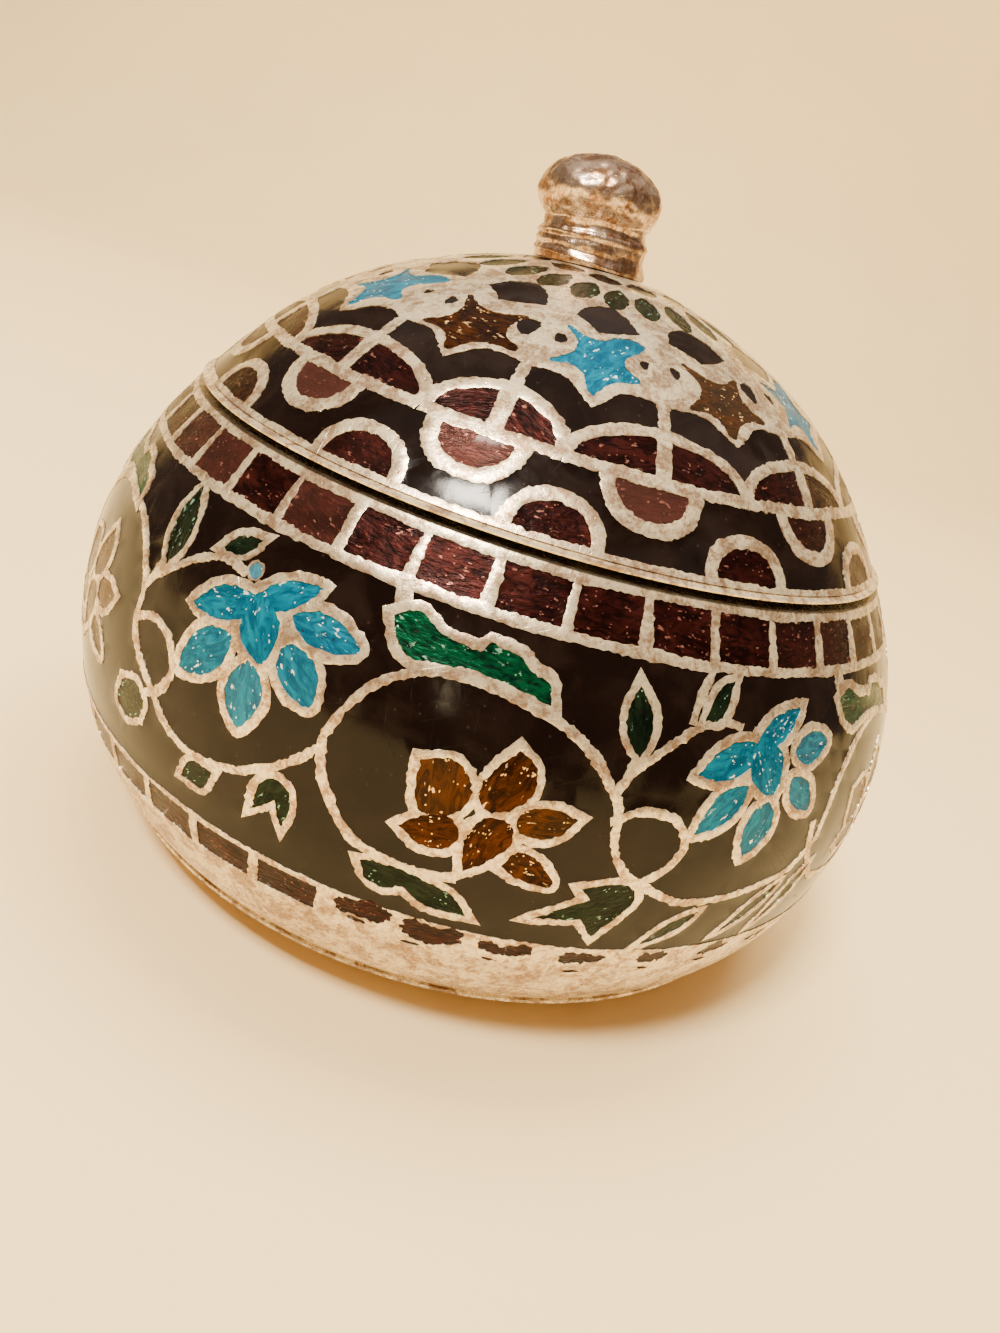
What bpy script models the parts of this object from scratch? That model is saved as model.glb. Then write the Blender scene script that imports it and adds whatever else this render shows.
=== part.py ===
"""A small round silver trinket box: a hollow bowl, a lift-off domed lid and a cast knob.

The box stands on the XY plane at the origin, +Z up, in metres.
Bowl and lid are turned shells, so each is one closed outline spun about the Z axis.
"""

import math

import bpy

# Bowl
belly_radius = 0.0225          # widest, outside
belly_height = 0.0118          # where it is widest, above the underside
mouth_radius = 0.0186          # outside, at the seam under the lid
mouth_height = 0.0225          # the seam, above the underside
foot_radius = 0.0135           # flat underside
foot_fullness = 2.2            # exponent of the curve from foot to belly: 2 is an ellipse
bowl_wall = 0.0010
ledge_thickness = 0.0011       # shelf around the mouth that the lid rests on

# Foot plate: a thin disc soldered under the bowl, seen as a fine step
plate_overhang = 0.00015       # how far its edge stands out from the bowl
plate_edge_height = 0.0024     # top of its edge, above the underside
plate_edge_width = 0.0007      # height of the edge itself

# Flange that keeps the lid centred
flange_height = 0.0014
flange_wall = 0.0007

# Lid
lid_height = 0.0095            # from the seam to the top of the dome, without its crown
lid_roundness = 2.85           # exponent of the dome: 2 is a parabola
crown_height = 0.0013          # a low cone round the middle of the dome, if it went on to a point
crown_radius = 0.0095
seat_radius = 0.0029           # flat middle under the knob
lid_wall = 0.0009
lip_height = 0.00035           # fine lip around the lid's edge
lip_overhang = 0.00014
groove_height = 0.00025        # line cut above the lip
groove_depth = 0.00010

# Knob
head_radius = 0.00315          # the knob's round head, a little flattened
head_rise = 0.00205            # half its height, were it whole
collar_radius = 0.00285        # lower part of the neck
collar_height = 0.00107
waist_radius = 0.00265         # upper part of the neck
waist_height = 0.0006
solder_radius = 0.0030         # bead of solder at the bottom of the neck
solder_height = 0.0002
knob_offset = 0.0011           # it was soldered on a little off the middle
knob_lean = math.radians(7.5)  # and a little crooked

# Clearances
seam_gap = 0.0003              # lid over bowl
flange_clearance = 0.0003      # flange inside lid
knob_gap = 0.0003              # knob over lid

# Fineness of the turned surfaces
turn_steps = 64
knob_steps = 28


def bowl_foot_curve(steps):
    """Outside of the bowl from the edge of the flat underside up to the belly."""
    points = []
    for step in range(steps + 1):
        angle = math.radians(90) * step / steps
        radius = foot_radius + (belly_radius - foot_radius) * math.sin(angle) ** (2 / foot_fullness)
        height = belly_height * (1 - math.cos(angle) ** (2 / foot_fullness))
        points.append((radius, height))
    return points


def bowl_shoulder_radius(height):
    """Outside radius of the bowl between the belly and the mouth."""
    share = (height - belly_height) / (mouth_height - belly_height)
    return belly_radius - (belly_radius - mouth_radius) * share ** 2


def bowl_shoulder_curve(steps):
    """Outside of the bowl from just above the belly up to the mouth."""
    points = []
    for step in range(1, steps + 1):
        height = belly_height + (mouth_height - belly_height) * step / steps
        points.append((bowl_shoulder_radius(height), height))
    return points


def dome_radius(rise):
    """Outside radius of the lid at a height above the seam."""
    return mouth_radius * (1 - rise / lid_height) ** (1 / lid_roundness)


def dome_rise(radius):
    """Height of the lid's outside above the seam at a radius."""
    cone = max(0.0, 1 - max(radius, seat_radius) / crown_radius)
    return lid_height * (1 - (radius / mouth_radius) ** lid_roundness) + crown_height * cone ** 1.5


def dome_curve(steps):
    """Outside of the lid from the seam up to the middle, above the seam's height."""
    radii = [mouth_radius * math.cos(math.radians(90) * step / steps) for step in range(steps)]
    radii = [radius for radius in radii if radius > seat_radius * 1.1] + [seat_radius]
    points = [(radius, mouth_height + dome_rise(radius)) for radius in radii]
    return points + [(0.0, mouth_height + dome_rise(0.0))]


def inset(points, distance):
    """The same open curve moved inwards: to its left, as it runs from below upwards."""
    moved = []
    last = len(points) - 1
    for index, (radius, height) in enumerate(points):
        before = points[max(index - 1, 0)]
        after = points[min(index + 1, last)]
        along_radius = after[0] - before[0]
        along_height = after[1] - before[1]
        length = math.hypot(along_radius, along_height)
        moved.append((radius - distance * along_height / length,
                      height + distance * along_radius / length))
    return moved


def radius_at(points, height):
    """Radius of a curve that rises, at a height."""
    for low, high in zip(points, points[1:]):
        if low[1] <= height <= high[1]:
            share = (height - low[1]) / (high[1] - low[1])
            return low[0] + (high[0] - low[0]) * share
    return points[-1][0]


def below(points, height):
    """The part of a rising curve under a height, ending on it."""
    kept = [point for point in points if point[1] < height]
    return kept + [(radius_at(points, height), height)]


def above(points, height):
    """The part of a rising curve over a height, starting on it."""
    kept = [point for point in points if point[1] > height]
    return [(radius_at(points, height), height)] + kept


def turn(name, outline, steps, colour, roughness, metallic):
    """Spin an outline about Z into one closed body; it runs up the outside and down the inside."""
    vertices = []
    rings = []
    for radius, height in outline:
        if radius < 1e-9:
            rings.append([len(vertices)])
            vertices.append((0.0, 0.0, height))
            continue
        rings.append(list(range(len(vertices), len(vertices) + steps)))
        for step in range(steps):
            angle = 2 * math.pi * step / steps
            vertices.append((radius * math.cos(angle), radius * math.sin(angle), height))
    faces = []
    pairs = list(zip(rings, rings[1:]))
    if len(rings[0]) > 1:
        pairs.append((rings[-1], rings[0]))
    for lower, upper in pairs:
        for step in range(steps):
            after = (step + 1) % steps
            if len(lower) == 1:
                faces.append((lower[0], upper[after], upper[step]))
            elif len(upper) == 1:
                faces.append((lower[step], lower[after], upper[0]))
            else:
                faces.append((lower[step], lower[after], upper[after], upper[step]))
    mesh = bpy.data.meshes.new(name)
    mesh.from_pydata(vertices, [], faces)
    mesh.shade_smooth()
    mesh.set_sharp_from_angle(angle=math.radians(40))
    material = bpy.data.materials.new(name)
    material.use_nodes = True
    shader = material.node_tree.nodes["Principled BSDF"]
    shader.inputs["Base Color"].default_value = (*colour, 1)
    shader.inputs["Roughness"].default_value = roughness
    shader.inputs["Metallic"].default_value = metallic
    mesh.materials.append(material)
    piece = bpy.data.objects.new(name, mesh)
    bpy.context.scene.collection.objects.link(piece)
    return piece


# The lid's inside, which the flange has to clear
dome_inside = inset(dome_curve(12), lid_wall)
dome_inside[-1] = (0.0, mouth_height + dome_rise(0.0) - lid_wall)
seat_top = mouth_height + flange_height + flange_clearance
lid_bore = radius_at(dome_inside, seat_top)
flange_outside = lid_bore - flange_clearance
flange_inside = flange_outside - flange_wall


def make_bowl():
    """Bowl, foot plate, ledge and flange are one solid."""
    foot = bowl_foot_curve(11)
    edge_low = plate_edge_height - plate_edge_width
    outside = [(0.0, 0.0)] + below(foot, edge_low)
    outside.append((radius_at(foot, edge_low) + plate_overhang, edge_low + plate_overhang))
    outside.append((radius_at(foot, plate_edge_height) + plate_overhang,
                    plate_edge_height - plate_overhang))
    outside += above(foot, plate_edge_height)
    outside += bowl_shoulder_curve(8)
    flange = [
        (flange_outside, mouth_height),
        (flange_outside, mouth_height + flange_height),
        (flange_inside, mouth_height + flange_height),
        (flange_inside, mouth_height - ledge_thickness),
    ]
    cavity = inset(bowl_foot_curve(8) + bowl_shoulder_curve(6), bowl_wall)
    cavity[0] = (foot_radius, bowl_wall)
    inside = below(cavity, mouth_height - ledge_thickness)
    outline = outside + flange + inside[::-1] + [(0.0, bowl_wall)]
    return turn("bowl", outline, turn_steps, (0.035, 0.022, 0.014), 0.18, 0.0)


def make_lid():
    """Domed shell with a fine lip and groove round its edge, resting over the bowl's ledge."""
    dome = dome_curve(14)
    seam = mouth_height + seam_gap
    lip_top = seam + lip_height
    groove_top = lip_top + groove_height
    outside = [
        (lid_bore, seam),
        (dome_radius(seam_gap), seam),
        (dome_radius(seam_gap) + lip_overhang, seam + lip_height * 0.4),
        (dome_radius(lip_top - mouth_height) + lip_overhang * 0.5, lip_top),
        (dome_radius(lip_top + groove_height * 0.5 - mouth_height) - groove_depth,
         lip_top + groove_height * 0.5),
    ]
    outside += above(dome, groove_top)
    inside = above(dome_inside, seat_top)
    outline = inside[::-1] + outside
    return turn("lid", outline, turn_steps, (0.035, 0.022, 0.014), 0.18, 0.0)


def make_knob():
    """Round head on a stepped neck, flat below, leaning a little towards -X."""
    base = mouth_height + dome_rise(0.0) + knob_gap
    collar_top = base + collar_height
    waist_top = collar_top + waist_height
    chamfer = collar_radius - waist_radius
    start = math.asin(waist_radius / head_radius)
    head_centre = waist_top + head_rise * math.cos(start)
    outline = [
        (0.0, base),
        (solder_radius, base),
        (solder_radius - solder_height * 0.4, base + solder_height * 0.6),
        (collar_radius, base + solder_height * 1.5),
        (collar_radius, collar_top - chamfer),
        (waist_radius, collar_top),
    ]
    head_steps = 9
    for step in range(head_steps):
        angle = math.pi - start - (math.pi - start) * step / head_steps
        outline.append((head_radius * math.sin(angle), head_centre + head_rise * math.cos(angle)))
    outline.append((0.0, head_centre + head_rise))
    knob = turn("knob", outline, knob_steps, (0.72, 0.62, 0.55), 0.3, 1.0)
    for vertex in knob.data.vertices:
        vertex.co.x -= knob_offset + (vertex.co.z - base) * math.tan(knob_lean)
    return knob


for old in list(bpy.data.objects):
    bpy.data.objects.remove(old)

make_bowl()
make_lid()
make_knob()
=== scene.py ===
"""A small round silver trinket box with enamelled bowl and lid and a cast ball knob.

Silver and enamel are separate pieces: the silver shells have shallow cells cut into them, and each
colour of glass is its own set of slabs that fill those cells. The ornament is drawn as flat shapes on
the turned outside, then cut into triangles once, so that every slab meets its silver edge exactly.
"""

import math

import bpy
import numpy as np
from mathutils import Matrix, Vector, noise
from mathutils.geometry import delaunay_2d_cdt


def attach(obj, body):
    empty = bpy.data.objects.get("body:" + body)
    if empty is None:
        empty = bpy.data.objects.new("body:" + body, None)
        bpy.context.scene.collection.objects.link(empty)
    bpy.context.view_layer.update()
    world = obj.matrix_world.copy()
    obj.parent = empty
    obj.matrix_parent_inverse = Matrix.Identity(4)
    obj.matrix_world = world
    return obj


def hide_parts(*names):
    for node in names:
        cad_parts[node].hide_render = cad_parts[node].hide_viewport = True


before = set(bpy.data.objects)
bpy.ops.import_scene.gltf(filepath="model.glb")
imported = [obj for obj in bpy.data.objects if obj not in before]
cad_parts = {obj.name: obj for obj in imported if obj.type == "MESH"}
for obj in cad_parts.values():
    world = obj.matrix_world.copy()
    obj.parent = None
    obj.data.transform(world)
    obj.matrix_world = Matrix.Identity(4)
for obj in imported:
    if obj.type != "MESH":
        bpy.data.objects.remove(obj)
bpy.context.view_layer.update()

MM = 0.001

# Bowl, in millimetres
belly_radius = 22.5
belly_height = 11.8
mouth_radius = 18.6
mouth_height = 22.5
foot_radius = 13.5
foot_fullness = 2.2
plate_top = 2.4                # upper edge of the foot plate

# Lid, in millimetres
lid_height = 9.5
lid_roundness = 2.85
crown_height = 1.3             # a low cone round the middle of the dome, if it went on to a point
crown_radius = 9.5
seat_radius = 2.9              # flat middle under the knob
lid_bottom = 0.3               # its edge, above the seam
groove_top = 0.72              # end of the lip and the line cut above it, above the seam

# Bowl ornament: heights are runs, millimetres along the outside from the belly
upper_band = (9.3, 11.2)       # cells under the mouth
upper_band_foot = 8.85         # lower edge of the line under them
upper_band_cells = 40
upper_band_start = 8.45        # degrees of a line between two of its cells
band_line = 0.45
lower_band = (-5.75, -4.2)     # cells near the foot
lower_band_top = -3.92         # upper edge of the line over them
lower_band_cells = 42
lower_band_start = -8.0
lower_band_worn = (-4, 62)     # degrees between which that band is worn away
cell_unevenness = 0.07         # how far the corners of the cells in both bands wander
first_joint = -24.3            # degrees of the first turquoise flower, at the joint of its petals
second_joint = 33.8
joint_pitch = 60.4             # from each one to the next, from there round the back
joint_run = 5.9
vine_width = 0.37
stem_width = 0.36
loop_width = 0.4
branch_width = 0.42
leaf_rim = 0.33
big_leaf_rim = 0.4
blade_rim = 0.3
blade_half_width = 0.36        # of the plain narrow leaves
petal_rim = 0.38
bead_rim = 0.08
amber_rim = 0.34
dull_leaf = (0.1, 0.35)        # range of tints of the dark leaves
bright_leaf = 0.95             # tint of the big leaf

# Lid ornament: heights are runs from the seam
border_top = 1.0               # upper edge of the silver border
arch_sunk = 0.14               # how far the feet of the arches reach into the border
arch_rise = 2.17               # outer height of the arches that stand on the border
arch_half_width = 2.2
arch_line = 0.6
scallop_foot = 4.45            # middle of the line that the half discs stand on
scallop_rise = 2.55
scallop_line = 0.55
pendant_depth = 2.4            # the rounded cells that hang from that line
pendant_half_width = 2.3
pendant_side = 0.72            # silver beside their enamel
pendant_tip = 0.62             # and under it
pendant_shift = -1.5           # degrees from the divider
divider_line = 0.55
panel_foot = 8.15              # lower edge of the silver that the stars are cut into
panel_top = 13.3
star_height = 9.75
hole_height = 10.3             # small black holes beside the stars
top_foot = 12.75               # lower edge of the silver round the knob
leaf_ring = (14.3, 16.9)       # green leaves in that silver
top_ring = (17.3, 18.6)        # black leaves nearest the knob
repeats = 12
front_edges = (-50.0, -19.3, 2.8, 33.0, 63.0)       # degrees where two scallops meet
front_dividers = (-35.3, -7.9, 18.0, 48.5)          # degrees of the lines that cut them in two
back_pitch = 30.875            # degrees between the edges that follow, round the back
arch_shifts = (-3.3, 1.2, -1.4)                     # degrees from an edge to its arch; the last for the rest

edge_step = 0.14               # distance between points along the edge of a shape
edge_noise = 0.034             # how far those points wander: the edges were cut by hand
line_unevenness = 0.06         # share by which the width of a line wanders

hand = np.random.RandomState(4)


def around(azimuth, out):
    """Rightwards and backwards, for places this far from the axis; azimuth 0 is the front."""
    turn = np.radians(azimuth)
    return [out * np.sin(turn), -out * np.cos(turn)]


class TurnedSurface:
    """The outside of a turned piece. A place on it is (azimuth, run): degrees from the front, and
    millimetres along the outline, upwards from the height where run is 0.

    The surface is also laid out flat as a disc, by a map that keeps every shape's angles.
    """

    def __init__(self, radius, height, zero_height, closed_above):
        self.radius = radius
        self.height = height
        steps = np.hypot(np.diff(radius), np.diff(height))
        run = np.concatenate([[0.0], np.cumsum(steps)])
        self.run = run - np.interp(zero_height, height, run)
        turns = np.concatenate([[0.0], np.cumsum(2 * steps / (radius[1:] + radius[:-1]))])
        self.disc = radius[0] * np.exp(-turns if closed_above else turns)
        if closed_above:
            self.disc[-1] = 0.0
        self.inwards = -1 if closed_above else 1

    def radius_at(self, run):
        return np.interp(run, self.run, self.radius)

    def height_at(self, run):
        return np.interp(run, self.run, self.height)

    def to_disc(self, places):
        out = np.interp(places[:, 1], self.run, self.disc)
        return np.stack(around(places[:, 0], out), 1)

    def from_disc(self, points):
        out = np.hypot(points[:, 0], points[:, 1])
        order = self.inwards
        run = np.interp(out, self.disc[::order], self.run[::order])
        return np.stack([np.degrees(np.arctan2(points[:, 0], -points[:, 1])), run], 1)

    def normal_at(self, places):
        ahead = places[:, 1] + 0.05
        behind = places[:, 1] - 0.05
        out = self.height_at(ahead) - self.height_at(behind)
        up = self.radius_at(behind) - self.radius_at(ahead)
        length = np.hypot(out, up)
        return np.stack(around(places[:, 0], out / length) + [up / length], 1)

    def points_at(self, places, depth):
        """The places in space, in millimetres, depth under the surface."""
        azimuth, run = places.T
        points = np.stack(around(azimuth, self.radius_at(run)) + [self.height_at(run)], 1)
        return points - self.normal_at(places) * np.reshape(depth, (-1, 1))

    def to_flat(self, places, about):
        """Millimetres right and up from a place, for shapes small enough to be drawn flat."""
        places = np.asarray(places, float)
        turn = np.radians((places[:, 0] - about[0] + 180) % 360 - 180)
        return np.stack([turn * self.radius_at(places[:, 1]), places[:, 1] - about[1]], 1)

    def from_flat(self, points, about):
        run = points[:, 1] + about[1]
        return np.stack([about[0] + np.degrees(points[:, 0] / self.radius_at(run)), run], 1)


def turned(points, angle):
    """Points of a flat shape turned left by an angle in degrees."""
    c, s = math.cos(math.radians(angle)), math.sin(math.radians(angle))
    points = np.asarray(points, float)
    return points @ np.array([[c, s], [-s, c]])


def smooth_curve(points, step):
    """A smooth open curve through a few points, as points about a step apart."""
    points = np.asarray(points, float)
    gaps = np.hypot(*np.diff(points, axis=0).T)
    at = np.concatenate([[0.0], np.cumsum(gaps)])
    if len(points) > 2:
        slopes = np.gradient(points, at, axis=0)
    else:
        slopes = np.repeat(np.diff(points, axis=0) / gaps[0], 2, axis=0)
    fine = np.linspace(0, at[-1], max(2, int(round(at[-1] / step)) + 1))
    part = np.clip(np.searchsorted(at, fine, side="right") - 1, 0, len(gaps) - 1)
    t = ((fine - at[part]) / gaps[part])[:, None]
    span = gaps[part][:, None]
    return ((1 + 2 * t) * (1 - t) ** 2 * points[part] + t * (1 - t) ** 2 * span * slopes[part]
            + t * t * (3 - 2 * t) * points[part + 1] + t * t * (t - 1) * span * slopes[part + 1])


def closed_outline(*sections):
    """A closed outline of smooth sections that meet at corners; each runs on to the next one's start."""
    starts = [section[:1] for section in sections[1:] + sections[:1]]
    parts = [smooth_curve(np.concatenate(pair), edge_step)[:-1] for pair in zip(sections, starts)]
    return np.concatenate(parts)


def leaf(base, tip, half_width, belly=0.45, blunt_base=1.0, blunt_tip=1.0):
    """Outline of a petal or leaf from base to tip. It is widest at belly, a share of its length."""
    base, tip = np.asarray(base, float), np.asarray(tip, float)
    axis = tip - base
    length = math.hypot(*axis)
    side = np.array([-axis[1], axis[0]]) / length
    steps = max(8, int(length * 1.15 / edge_step))
    t = (1 - np.cos(np.linspace(0, math.pi, steps + 1))) / 2
    swell = np.sin(math.pi * t ** (math.log(0.5) / math.log(belly)))
    power = blunt_base * (1 - t) + blunt_tip * t
    width = half_width * np.clip(swell, 0, 1) ** power
    middle = base + t[:, None] * axis
    left = middle + width[:, None] * side
    right = middle - width[:, None] * side
    return np.concatenate([right[:-1], left[:0:-1]])


def arch(half_width, rise, foot, squareness):
    """Outline of a half disc on a straight foot; squareness 2 is an ellipse. A rise below 0 hangs."""
    steps = int((abs(rise) * 2 + half_width) / edge_step)
    angle = np.linspace(0, math.pi, steps)
    across = np.sign(np.cos(angle)) * np.abs(np.cos(angle)) ** (2 / squareness) * half_width
    up = np.sin(angle) ** (2 / squareness) * rise + foot
    top = np.stack([across, up], 1)
    base = smooth_curve([top[-1], top[0]], edge_step)
    return np.concatenate([top[:-1], base[:-1]])


def edge_normals(points, closed):
    """Unit normals to the right of a flat line, and how sharply it bends there (1 where straight)."""
    if closed:
        before = points - np.roll(points, 1, axis=0)
        after = np.roll(points, -1, axis=0) - points
    else:
        before = np.diff(points, axis=0, prepend=points[:1] * 2 - points[1:2])
        after = np.diff(points, axis=0, append=points[-1:] * 2 - points[-2:-1])
    before /= np.maximum(np.hypot(*before.T), 1e-9)[:, None]
    after /= np.maximum(np.hypot(*after.T), 1e-9)[:, None]
    mean = before + after
    mean /= np.maximum(np.hypot(*mean.T), 1e-9)[:, None]
    straight = np.clip((mean * before).sum(1), 0.42, 1.0)
    return np.stack([mean[:, 1], -mean[:, 0]], 1), straight


def area_of(points):
    x, y = points.T
    return 0.5 * np.sum(x * np.roll(y, -1) - y * np.roll(x, -1))


def grown(points, margin):
    """A closed flat outline moved outwards by margin."""
    if area_of(points) < 0:
        points = points[::-1]
    normals, straight = edge_normals(points, True)
    return points + normals * (margin / straight)[:, None]


def uneven(count, size):
    """Small wandering offsets for the points of an edge."""
    rough = hand.normal(0, 1, count)
    slow = np.convolve(np.resize(hand.normal(0, 1, count), count + 6), np.ones(7) / 7, "valid")
    return size * (0.75 * rough + 1.6 * slow)


class Ornament:
    """Shapes drawn on a turned surface: regions first, then silver, then cells of enamel over it."""

    def __init__(self, surface):
        self.surface = surface
        self.shapes = []

    def add(self, layer, kind, flat, about, noise_size, tint=0.5):
        normals, _ = edge_normals(flat, True)
        flat = flat + normals * uneven(len(flat), noise_size)[:, None]
        centre = flat.mean(0)
        spread = np.linalg.eigh(np.cov((flat - centre).T))[1][:, -1]
        heading = math.degrees(math.atan2(spread[1], spread[0]))
        self.shapes.append({
            "layer": layer, "kind": kind, "tint": tint, "heading": heading,
            "places": self.surface.from_flat(flat, about),
            "about": self.surface.from_flat(centre[None], about)[0],
        })

    def region(self, kind, run):
        """Everything between this run and the closed end of the surface."""
        steps = int(2 * math.pi * self.surface.radius_at(run) / (edge_step * 1.4))
        azimuth = np.arange(steps) * 360 / steps
        places = np.stack([azimuth, run + uneven(steps, edge_noise)], 1)
        self.shapes.append({"layer": 0, "kind": kind, "tint": 0.5, "heading": 0.0,
                            "places": places, "about": np.array([0.0, run])})

    def line(self, places, width):
        """A silver line through places."""
        about = places[0]
        middle = smooth_curve(self.surface.to_flat(places, about), edge_step)
        normals, _ = edge_normals(middle, False)
        half = width / 2 * (1 + uneven(len(middle), line_unevenness))
        right = middle + normals * half[:, None]
        left = middle - normals * half[:, None]
        self.silver(np.concatenate([right, left[::-1]]), about)

    def silver(self, flat, about):
        self.add(1, "silver", flat, about, edge_noise)

    def cells(self, kind, outlines, about, rim, tint):
        """Flat outlines that share one cell of enamel, with a silver rim around them."""
        for flat in outlines:
            self.silver(grown(flat, rim), about)
            self.hole(kind, flat, about, tint)

    def hole(self, kind, flat, about, tint=0.5, noise_size=edge_noise):
        """A cell cut into silver that is already there."""
        self.add(2, kind, flat, about, noise_size, tint)

    def cell_through(self, kind, sections, rim, tint=0.5):
        """A cell whose outline is given by places, in sections that meet at corners."""
        self.cells(kind, [self.outline(sections)], sections[0][0], rim, tint)

    def outline(self, sections):
        """Sections of places as one closed outline, drawn flat about the first place."""
        return closed_outline(*[self.surface.to_flat(section, sections[0][0]) for section in sections])


def foot_curve(steps):
    """Outside of the bowl from the underside to the belly, as radii and heights."""
    angle = np.linspace(0, math.pi / 2, steps)
    radius = foot_radius + (belly_radius - foot_radius) * np.sin(angle) ** (2 / foot_fullness)
    height = belly_height * (1 - np.cos(angle) ** (2 / foot_fullness))
    return np.stack([radius, height], 1)


def shoulder_curve(steps):
    """Outside of the bowl from just over the belly to the mouth, as radii and heights."""
    height = np.linspace(belly_height, mouth_height, steps)[1:]
    share = (height - belly_height) / (mouth_height - belly_height)
    return np.stack([belly_radius - (belly_radius - mouth_radius) * share ** 2, height], 1)


def bowl_curve():
    """Outside of the bowl from the top of the foot plate to the mouth, as radii and heights."""
    radius, height = np.concatenate([foot_curve(400), shoulder_curve(300)]).T
    start = np.interp(plate_top, height, radius)
    kept = height > plate_top
    return np.concatenate([[start], radius[kept]]), np.concatenate([[plate_top], height[kept]])


def dome_level(radius):
    """Height of the lid's outside at a radius."""
    cone = np.maximum(0.0, 1 - np.maximum(radius, seat_radius) / crown_radius)
    return (mouth_height + lid_height * (1 - (radius / mouth_radius) ** lid_roundness)
            + crown_height * cone ** 1.5)


def dome_curve():
    """Outside of the lid from the seam to the middle of the top."""
    radius = mouth_radius * np.cos(np.linspace(0, math.pi / 2, 500))
    radius[-1] = 0.0
    return radius, dome_level(radius)


def band_of_cells(art, band, count, first, tints, worn=(0, 0)):
    """A row of oblong maroon cells round the box; first is the azimuth of a line between two of them."""
    pitch = 360 / count
    worn_width = worn[1] - worn[0]
    low, high = band
    for index in range(count):
        centre = first + pitch * (index + 0.5)
        about = (centre, (low + high) / 2)
        half = math.radians(pitch) * art.surface.radius_at(about[1]) / 2 - band_line / 2
        rise = (high - low) / 2
        nudge = hand.uniform(-cell_unevenness, cell_unevenness, (4, 2))
        corners = np.array([(-half, -rise), (half, -rise), (half, rise), (-half, rise)]) + nudge
        away = (centre - worn[0]) % 360
        if away < worn_width:
            worn_cell(art, about, half, rise, tints, 1 - away / worn_width)
            continue
        flat = closed_outline(*corners[:, None])
        art.hole("maroon", flat, about, hand.uniform(*tints))


def worn_cell(art, about, half, rise, tints, left_over):
    """What is left of a cell where the silver has been smeared over it: a ragged patch and a streak."""
    wide = half * (0.35 + 0.55 * left_over)
    high = rise * (0.22 + 0.42 * left_over)
    middle = np.array([hand.uniform(-0.3, 0.3), rise * 0.6 + hand.uniform(-0.15, 0.1)])
    corners = np.array([(-wide, -high), (0, -high), (wide, -high * 0.7), (wide, high), (0, high),
                        (-wide, high)])
    patch = rounded(corners + middle + hand.uniform(-0.22, 0.22, (6, 2)), 2)
    art.hole("maroon", patch, about, hand.uniform(*tints), edge_noise * 3)
    x, y = hand.uniform(-half, half * 0.6), -rise * hand.uniform(0.3, 0.9)
    streak = leaf((x, y), (x + hand.uniform(0.5, 1.1), y + hand.uniform(-0.1, 0.1)), 0.12)
    art.hole("maroon", streak, about, hand.uniform(*tints))


# Petals, in millimetres from the flower's joint: those of turquoise as base, tip, half width and how
# blunt the tip is, those of amber as corners
turquoise_joined = (
    ((0.45, 0.2), (-2.85, -1.15), 0.72, 0.9),
    ((-0.35, -0.2), (2.4, 1.75), 0.6, 0.9),
    ((-0.05, 0.55), (1.4, -1.9), 0.92, 0.65),
)
turquoise_left = (
    ((-0.35, -1.5), (-2.4, -3.8), 0.92, 0.7),
    ((0.85, -2.05), (1.35, -4.7), 0.9, 0.8),
    ((2.05, -0.75), (3.95, -2.55), 0.78, 0.6),
    ((1.8, 0.35), (4.85, 0.15), 0.7, 0.65),
)
turquoise_right = (
    ((-0.25, -1.5), (-2.4, -3.55), 0.66, 0.9),
    ((1.25, -2.2), (0.5, -4.7), 0.82, 0.85),
    ((2.35, -1.25), (4.05, -2.8), 0.64, 0.6),
    ((2.3, -0.1), (4.6, 0.15), 0.7, 0.6),
)
amber_petals = (
    ((-3.05, 1.15), (-1.6, 1.42), (-0.85, 0.54), (-1.25, -0.55), (-2.55, -0.85), (-2.95, 0.13)),
    ((0.45, 2.55), (1.2, 2.0), (1.34, 0.87), (0.83, 0.22), (-0.25, -0.05), (-0.53, 0.46), (-0.3, 1.42)),
    ((3.4, 0.36), (2.52, 0.58), (1.16, 0.09), (1.2, -0.47), (1.9, -0.8), (2.85, -0.46)),
    ((1.05, -2.3), (1.46, -1.5), (2.4, -1.65), (3.25, -2.72), (2.15, -2.75)),
    ((-0.3, -2.95), (-0.5, -1.22), (-0.23, -0.5), (0.94, -0.38), (1.2, -1.07), (0.56, -2.2)),
    ((-3.15, -1.74), (-2.43, -1.08), (-1.18, -0.8), (-0.82, -1.31), (-0.95, -1.96), (-2.11, -2.3)),
)


def turquoise_flower(art, about, single):
    """Three joined petals above four single ones, and on the first kind a small bead on top."""
    joined = [leaf(base, tip, half, 0.5, 0.9, blunt) for base, tip, half, blunt in turquoise_joined]
    art.cells("turquoise", joined, about, petal_rim, hand.uniform(0.4, 0.6))
    for base, tip, half, blunt in single:
        petal = leaf(base, tip, half, 0.45, 0.8, blunt)
        art.cells("turquoise", [petal], about, petal_rim, hand.uniform(0.35, 0.65))
    if single is turquoise_left:
        bead = leaf((-0.55, 0.85), (-0.75, 1.5), 0.32, 0.5, 0.5, 0.5)
        art.cells("turquoise", [bead], about, bead_rim, 0.75)


def amber_flower(art, about):
    """Six petals round a middle, each its own cell."""
    for corners in amber_petals:
        art.cells("amber", [rounded(corners, 0)], about, amber_rim, hand.uniform(0.3, 0.7))
    art.silver(leaf((-0.8, -0.9), (1.2, -0.6), 0.6, 0.5, 0.5, 0.5), about)


def from_joint(joint, offsets):
    """Places given as degrees and millimetres from a flower's joint."""
    return [(joint[0] + azimuth, joint[1] + run) for azimuth, run in offsets]


def fitted(places, start, end):
    """A route moved and stretched so that it starts and ends at these places."""
    places = np.asarray(places, float)
    share = np.linspace(0, 1, len(places))[:, None]
    return places + (1 - share) * (start - places[0]) + share * (end - places[-1])


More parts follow.
